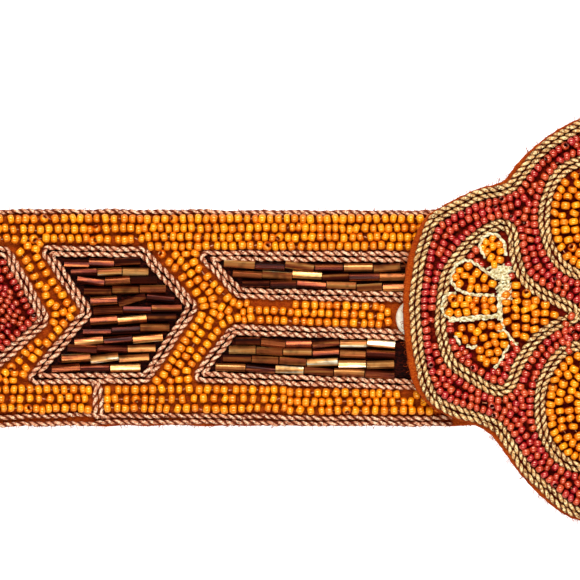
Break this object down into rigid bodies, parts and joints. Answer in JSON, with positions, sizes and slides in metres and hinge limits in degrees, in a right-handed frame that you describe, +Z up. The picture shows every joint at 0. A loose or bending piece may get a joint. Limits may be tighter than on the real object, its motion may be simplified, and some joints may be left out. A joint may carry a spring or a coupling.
{
  "type": "beaded belt",
  "caption": "Cloth waist belt covered in bead embroidery with a lobed beaded plaque over its closure, fastened and lying flat.",
  "frame": {"origin": "on the table, under the middle of the plaque and of the whole belt", "axes": "+X along the belt towards the wearer's left as worn, +Y across the band towards its upper edge, +Z up through the plaque, away from the table"},
  "size_m": [0.354, 0.0976, 0.0172],
  "materials": {
    "felt": "matt rust-orange felt",
    "orange_beads": "glossy opaque orange glass seed beads",
    "red_beads": "glossy opaque red glass seed beads",
    "bronze_bugles": "brown glass tubes with a metallic lining",
    "pink_cord": "two-ply cord with a metallic thread, pinkish tan",
    "gold_cord": "two-ply cord with a metallic thread, pale gold",
    "white_plastic": "satin off-white plastic"
  },
  "bodies": {
    "root": {"band_cloth": "felt", "orange_bead_ground": "orange_beads", "edge_cord_upper": "pink_cord", "edge_cords_lower": "pink_cord", "chevron_front_left_cords": "pink_cord", "chevron_front_left_bugles": "bronze_bugles", "chevron_front_right_cords": "pink_cord", "chevron_front_right_bugles": "bronze_bugles", "chevron_back_left_cords": "pink_cord", "chevron_back_left_bugles": "bronze_bugles", "chevron_back_right_cords": "pink_cord", "chevron_back_right_bugles": "bronze_bugles", "bar_front_left_upper_cords": "pink_cord", "bar_front_left_upper_bugles": "bronze_bugles", "bar_front_left_lower_cords": "pink_cord", "bar_front_left_lower_bugles": "bronze_bugles", "bar_front_right_upper_cords": "pink_cord", "bar_front_right_upper_bugles": "bronze_bugles", "bar_front_right_lower_cords": "pink_cord", "bar_front_right_lower_bugles": "bronze_bugles", "bar_back_upper_cords": "pink_cord", "bar_back_upper_bugles": "bronze_bugles", "bar_back_lower_cords": "pink_cord", "bar_back_lower_bugles": "bronze_bugles", "lozenge_left_cords": "pink_cord", "lozenge_left_beads": "red_beads", "lozenge_right_cords": "pink_cord", "lozenge_right_beads": "red_beads", "plaque_cloth": "felt", "plaque_edge_cords": "gold_cord", "plaque_red_beads": "red_beads", "medallion_left_cords": "gold_cord", "medallion_left_beads": "orange_beads", "medallion_right_cords": "gold_cord", "medallion_right_beads": "orange_beads", "lobe_upper_left_cords": "gold_cord", "lobe_upper_left_beads": "orange_beads", "lobe_upper_right_cords": "gold_cord", "lobe_upper_right_beads": "orange_beads", "lobe_lower_left_cords": "gold_cord", "lobe_lower_left_beads": "orange_beads", "lobe_lower_right_cords": "gold_cord", "lobe_lower_right_beads": "orange_beads", "stem_cords": "gold_cord", "fastening_snap": "white_plastic"}
  },
  "joints": []
}
